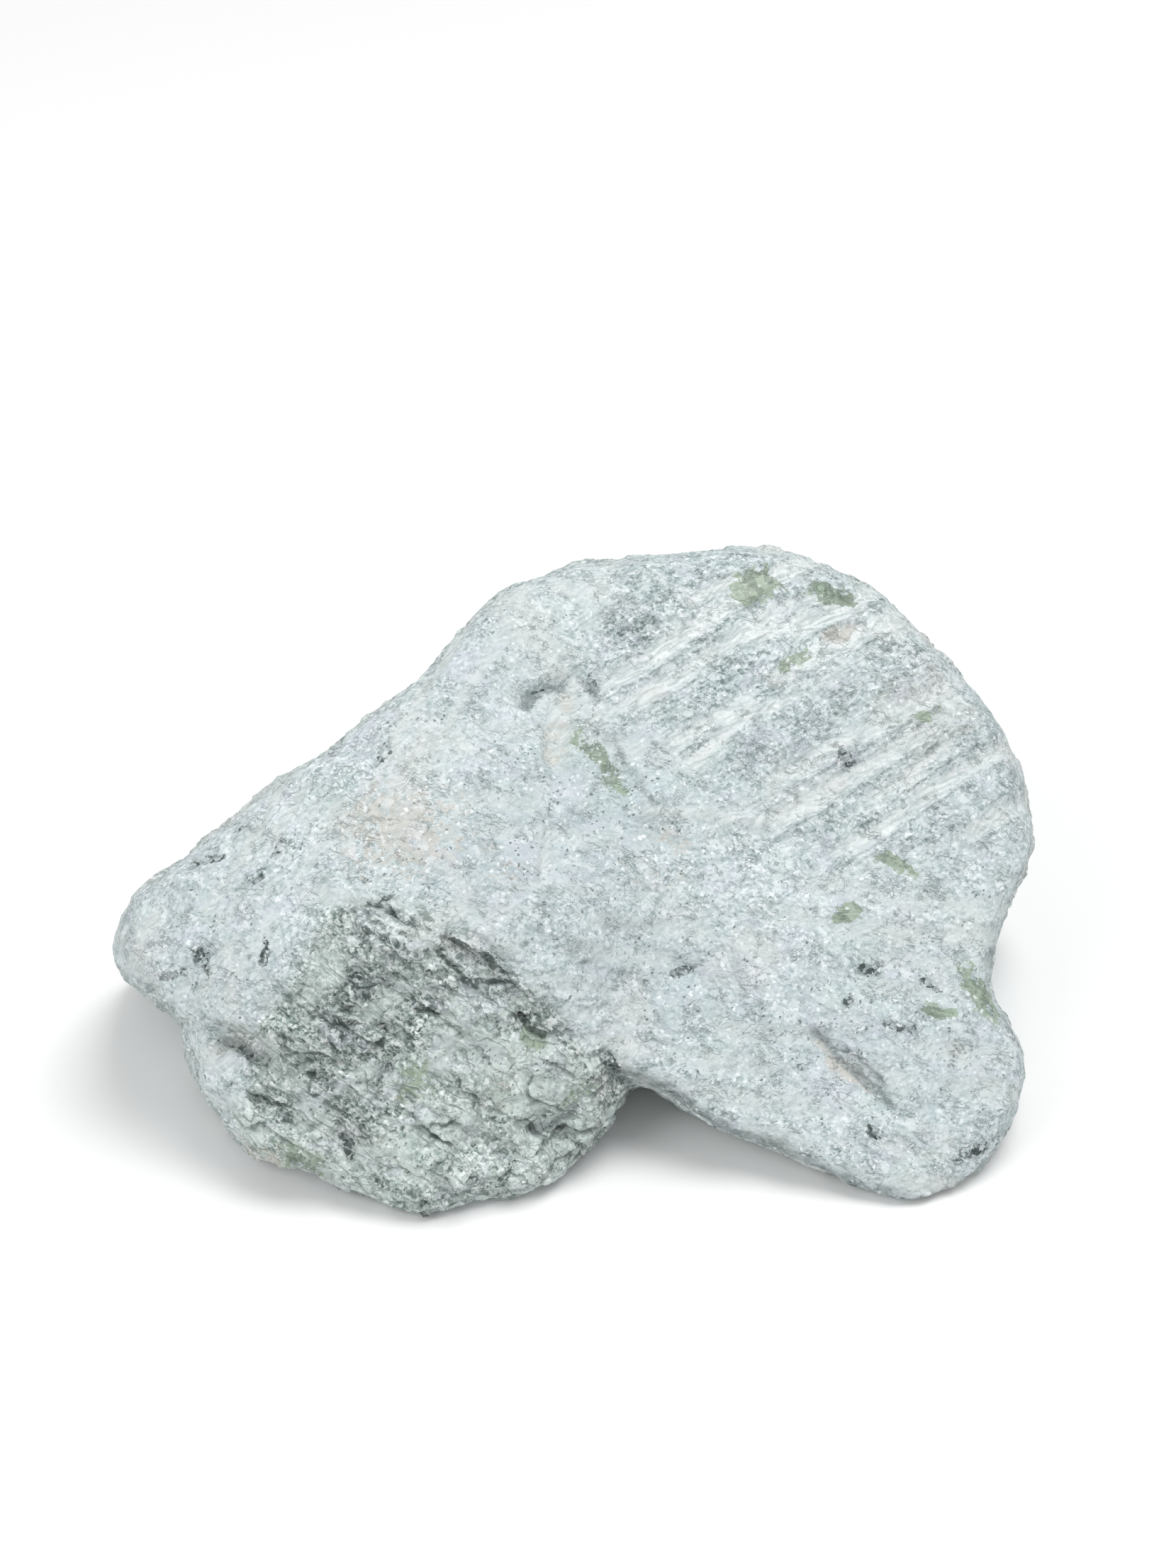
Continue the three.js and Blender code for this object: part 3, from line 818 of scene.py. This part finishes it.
def body(s, f):
    """The stone's own colour with painted shade in the hollows of its fine relief and painted light on its
    ridges, and its finest relief in mm: rubbed powder, scratchy patches, bare schist.
    """
    patch = s.scaled(f.crumbly, 0.12, along_grain(s, f, 5, 5, 0.75, 0.8))
    scratchy = s.times(s.steps(patch, 0.56, 0.66), f.rubbed)
    scratchy = s.times(scratchy, s.minus(1.0, f.raw))
    lively = s.scaled(f.cool, 0.35, s.scaled(f.crumbly, 0.3, 0.8))
    lively = s.times(f.rubbed, lively)
    quiet = s.blend(lively, 0.5, weighted(s, (f.grain, 0.72), (f.tiny, 0.45), (f.hatch, 0.18)))
    streak = s.noise(s.grained(f.flow, NOSE_GRAIN, 9), 1.7, 3, 0.65)
    quiet = s.scaled(s.times(f.nose, s.minus(streak, 0.5)), 0.5, quiet)
    swept = s.noise(s.grained(f.flow, PLAIN_GRAIN, 8), 1.5, 3, 0.65)
    quiet = s.scaled(s.times(f.plain, s.minus(swept, 0.5)), 0.4, quiet)
    scratched = weighted(s, (f.grain, 1.2), (f.tiny, 0.6), (f.hatch, 0.25))
    torn = weighted(s, (f.grain, 1.3), (f.tiny, 0.65), (f.small, 0.12), (f.large, 0.12), (f.hatch, 0.16))
    hackly = s.scaled(f.shade, 0.7, s.scaled(f.calm, -0.6, 0.98))
    torn = s.scaled(s.minus(torn, 0.5), hackly, 0.5)
    scratchy = s.times(scratchy, s.scaled(f.dome, 0.2, 0.25))
    tone = s.blend(scratchy, quiet, scratched)
    tone = s.scaled(s.minus(f.rasped, 0.45), s.times(f.dome, 0.9), tone)
    tone = s.scaled(s.minus(f.smooth_cut, 0.5), s.times(f.dome, 0.28), tone)
    tone = s.blend(f.raw, tone, torn)
    # Painted shade in the hollows of the fine relief and painted light on its ridges.
    tone = s.scaled(s.minus(f.relief, 0.5), 0.16, tone)
    base = s.mix(f.raw, s.ramp(tone, POWDER), s.ramp(tone, BARE_SCHIST))
    loose = s.times(f.small_rise, f.crumbly)
    flat_facets = s.times(f.large_rise, s.scaled(f.dome, 0.6, 0.3))
    scraped = added(s, (f.grain, 0.3), (loose, 0.7), (flat_facets, 1.0))
    chipped = added(
        s, (f.small_rise, 0.8), (f.large_rise, 1.3), (f.small, 0.15), (f.large, 0.6), (f.grain, 0.25),
    )
    chipped = s.times(chipped, s.scaled(f.calm, -0.7, 1.0))
    return base, s.blend(f.raw, s.times(lively, scraped), chipped)


def stains(s, f, base):
    """Large faint changes of colour, the patches that show on the display side, and painted shade where the
    stone faces down, on its lower rim and in the darkest parts of the broken face.
    """
    # Painted shade: what faces down and the SHADE patches are darkened; in the patches the broken face is
    # darker stone as well.
    shade_and_dark_stone = s.most(f.shade, s.times(f.under, 0.5))
    shade_and_dark_stone = s.times(shade_and_dark_stone, s.steps(f.grain, 0.75, 0.35))
    base = s.tint(base, shade_and_dark_stone, 0.7, SHADE_AND_DARK_SCHIST)
    base = s.tint(base, s.times(f.calm, f.raw), 0.35, CALM_FACE)
    # Painted shade in patches on the lower rim, which turns down away from the light.
    base = s.tint(base, s.times(f.rim, s.steps(f.splintered, 0.52, 0.42)), 0.75, RIM_SHADE)
    base = s.tint(base, f.cool, 0.68, COOL_GREY)
    wide = s.steps(s.noise(f.spot, 26, 4, 0.6, 0.5), 0.52, 0.66)
    lilac = s.steps(s.noise(s.grained(f.spot, 10, 1.4), 12, 5, 0.7, 1.0), 0.53, 0.60)
    mint = s.steps(s.noise(s.grained(f.spot, 70, 1.2), 15, 5, 0.65, 1.0), 0.52, 0.66)
    base = s.tint(base, wide, 0.4, WARM_GREY)
    base = s.tint(base, lilac, 0.35, LILAC)
    base = s.tint(base, mint, 0.35, MINT)
    scraped = s.mix(s.steps(f.rasped, 0.36, 0.6), colour(*SCRAPED_DULL), colour(*SCRAPED_PALE))
    base = s.mix(s.times(f.smooth_cut, 0.5), base, scraped)
    brown = s.steps(s.plus(f.brown, s.minus(f.ragged, 0.5)), 0.35, 0.75)
    return s.tint(base, brown, 0.55, BEIGE)


def ledges(s, f, base, depth):
    """The edges of ledges, flakes and chisel lanes, sharper than the mesh can hold: painted shade below the
    lips and along the lanes, and painted highlights on the lips.
    """
    wobble = s.times(s.minus(s.noise(f.bent, 2.4, 4, 0.6), 0.5), 0.5)
    ledge_step = s.calc("FRACT", s.scaled(wobble, 0.5, f.ledge))
    flake_step = s.calc("FRACT", s.plus(wobble, f.flake))
    lane_step = s.calc("FRACT", s.scaled(wobble, 0.3, f.lane))
    # Painted shade in a band just below each ledge and flake lip, where the relief steps down.
    ledge_shade = s.times(s.steps(ledge_step, 0.20, 0.02), f.ledge_strength)
    flake_shade = s.times(s.steps(flake_step, 0.26, 0.04), f.flake_strength)
    # Painted highlights on the lips of the ledges and flakes.
    ledge_highlight = s.times(s.steps(ledge_step, 0.70, 0.98), f.ledge_strength)
    flake_highlight = s.times(s.steps(flake_step, 0.70, 0.98), f.flake_strength)
    # Painted shade along one edge of each chisel lane, where the bump also dips a little.
    lane_edge_shade = s.times(s.steps(lane_step, 0.12, 0.03), f.lane_strength)
    edge = s.minus(f.ragged, 0.5)
    # Painted shade below each listed ledge, with a ragged edge.
    under = s.steps(s.scaled(edge, 0.6, f.under_ledge), 0.45, 0.85)
    base = s.tint(base, lane_edge_shade, 0.35, LANE_EDGE_SHADE)
    base = s.tint(base, s.most(ledge_highlight, flake_highlight), 0.4, LIP_HIGHLIGHT)
    base = s.tint(base, flake_shade, 0.55, FLAKE_SHADE)
    base = s.tint(base, ledge_shade, 0.75, LEDGE_SHADE)
    base = s.tint(base, under, 0.75, UNDER_LEDGE_SHADE)
    depth = s.scaled(s.times(ledge_step, f.ledge_strength), 1.1, depth)
    depth = s.scaled(s.times(flake_step, f.flake_strength), 0.7, depth)
    return base, s.scaled(lane_edge_shade, -0.3, depth)


def minerals(s, f, base):
    """Patches of green serpentine, dark spots that are partly chlorite flecks and partly painted shade in
    pits and at the notch's tips, and painted shadow along undercut edges. The green ones are glassy.
    """
    edge = s.minus(f.splintered, 0.5)
    green = s.steps(s.plus(f.green, edge), 0.42, 0.52)
    shine = s.steps(s.scaled(f.small, 0.4, f.grain), 0.5, 0.9)
    share = s.times(green, 0.8)
    base = s.mix(share, base, s.mix(shine, colour(*SERPENTINE_DEEP), colour(*SERPENTINE_PALE)))
    # Painted shadow along the undercut edges.
    shadow = s.steps(s.plus(f.shadow, edge), 0.25, 0.75)
    gap = s.mix(s.scaled(f.tiny, 0.5, s.times(f.grain, 0.6)), colour(*SHADOW_DEEP), colour(*SHADOW_PALE))
    base = s.mix(s.times(shadow, 0.8), base, gap)
    # Dark spots, partly painted shade in pits and at the notch's tips.
    dark = s.times(s.steps(s.plus(f.dark, edge), 0.36, 0.48), s.steps(f.tiny, 1.3, 0.2))
    return s.tint(base, dark, 1.0, CHLORITE_AND_PIT_SHADE), green


def specks(s, f, base, depth, green):
    """Thin cracks, dark flecks in clusters, and white crumbs."""
    lavish = s.scaled(f.cool, 0.08, s.times(f.raw, 0.07))
    cluster = s.steps(s.plus(lavish, s.noise(f.spot, 6, 4, 0.7)), 0.57, 0.62)
    fleck = s.dots(s.grained(f.bent, 45, 1.7), 0.8, 0.35, 0.44)
    fleck = s.times(s.times(fleck, cluster), f.rubbed)
    fleck = s.times(fleck, s.scaled(f.dome, -0.4, 1.0))
    base = s.tint(base, fleck, 0.8, FLECK)
    cracked = s.steps(s.noise(f.spot, 7, 4, 0.65), 0.48, 0.56)
    long_line = s.lines(s.grained(f.bent, -24, 3.5), 3.0, 0.022)
    short_line = s.lines(s.grained(f.bent, 34, 2.5), 2.0, 0.024)
    crack = s.times(s.most(long_line, s.times(short_line, 0.7)), cracked)
    base = s.tint(base, crack, 0.55, CRACK)
    crumb = s.dots(f.bent, 1.2, 0.14, 0.46)
    chip = s.times(s.steps(f.small, 0.84, 0.86), s.steps(s.noise(f.spot, 6, 3, 0.6), 0.46, 0.56))
    white = s.most(crumb, s.times(chip, 0.7))
    smooth = s.most(s.most(green, f.smooth_cut), s.times(f.calm, f.raw))
    white = s.times(white, s.scaled(smooth, -0.8, 1.0))
    base = s.tint(base, white, 0.5, CRUMB)
    return base, s.scaled(crack, -0.1, depth)


def soapstone():
    s = Shader("soapstone")
    f = shared_fields(s)
    base, depth = body(s, f)
    base = stains(s, f, base)
    base, green = minerals(s, f, base)
    base, depth = ledges(s, f, base, depth)
    base, depth = specks(s, f, base, depth, green)
    # Painted highlight: glints on a few tiny chips are painted near white in the colour, and their
    # roughness is set to 0.5.
    glint = s.times(s.steps(s.chips(f.bent, 0.8), 0.975, 0.985), f.rubbed)
    base = s.tint(base, glint, 0.6, GLINT)
    s.link(base, s.principled.inputs["Base Color"])
    s.link(s.blend(glint, s.blend(green, 0.85, 0.4), 0.5), s.principled.inputs["Roughness"])
    s.link(s.bump(depth), s.principled.inputs["Normal"])
    return s.material


stone.data.materials.append(soapstone())
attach(stone, "root")
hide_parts("soapstone_block")

# ---------------------------------------------------------------- floor, light and camera

FLOOR_SIZE = 14.0  # metres
FLOOR_GREY = 0.93
SOFTBOX_SIZE = 1.2
SOFTBOX_AIM = (0, 0, 0.05)
SOFTBOXES = [("overhead", (0.6, 0.1, 2.0), 25), ("left", (-1.3, -1.0, 1.4), 11)]  # place in metres, watts
ROOM_LIGHT = 0.56


def studio_floor():
    half = FLOOR_SIZE / 2
    mesh = bpy.data.meshes.new("floor")
    corners = [(-half, -half, 0), (half, -half, 0), (half, half, 0), (-half, half, 0)]
    mesh.from_pydata(corners, [], [(0, 1, 2, 3)])
    floor = bpy.data.objects.new("floor", mesh)
    bpy.context.scene.collection.objects.link(floor)
    s = Shader("floor")
    s.principled.inputs["Base Color"].default_value = (FLOOR_GREY, FLOOR_GREY, FLOOR_GREY, 1)
    s.principled.inputs["Roughness"].default_value = 0.9
    mesh.materials.append(s.material)


def softbox(name, place, power):
    light = bpy.data.lights.new(name, "AREA")
    light.shape = "SQUARE"
    light.size = SOFTBOX_SIZE
    light.energy = power
    holder = bpy.data.objects.new(name, light)
    holder.location = place
    holder.rotation_euler = (Vector(SOFTBOX_AIM) - Vector(place)).to_track_quat("-Z", "Y").to_euler()
    bpy.context.scene.collection.objects.link(holder)


studio_floor()
for name, place, power in SOFTBOXES:
    softbox(name, place, power)
world = bpy.data.worlds.new("studio")
world.use_nodes = True
world.node_tree.nodes["Background"].inputs["Color"].default_value = (1, 1, 1, 1)
world.node_tree.nodes["Background"].inputs["Strength"].default_value = ROOM_LIGHT
bpy.context.scene.world = world
bpy.context.scene.view_settings.view_transform = "Standard"

AIM_RIGHT = 3.6  # the middle of the picture, in mm from the stone's middle
AIM_UP = 24.0
SENSOR_HEIGHT = 36
LENS = 70

camera = bpy.data.cameras.new("camera")
camera.sensor_fit = "VERTICAL"
camera.sensor_height = SENSOR_HEIGHT
camera.lens = LENS
viewer = bpy.data.objects.new("camera", camera)
bpy.context.scene.collection.objects.link(viewer)
eye = Vector((MIDDLE + EYE_DISTANCE * TO_EYE) * MM)
aim = Vector((MIDDLE + AIM_UP * UP_IN_VIEW) * MM) + Vector((AIM_RIGHT * MM, 0, 0))
viewer.location = eye
viewer.rotation_euler = (aim - eye).to_track_quat("-Z", "Y").to_euler()
bpy.context.scene.camera = viewer
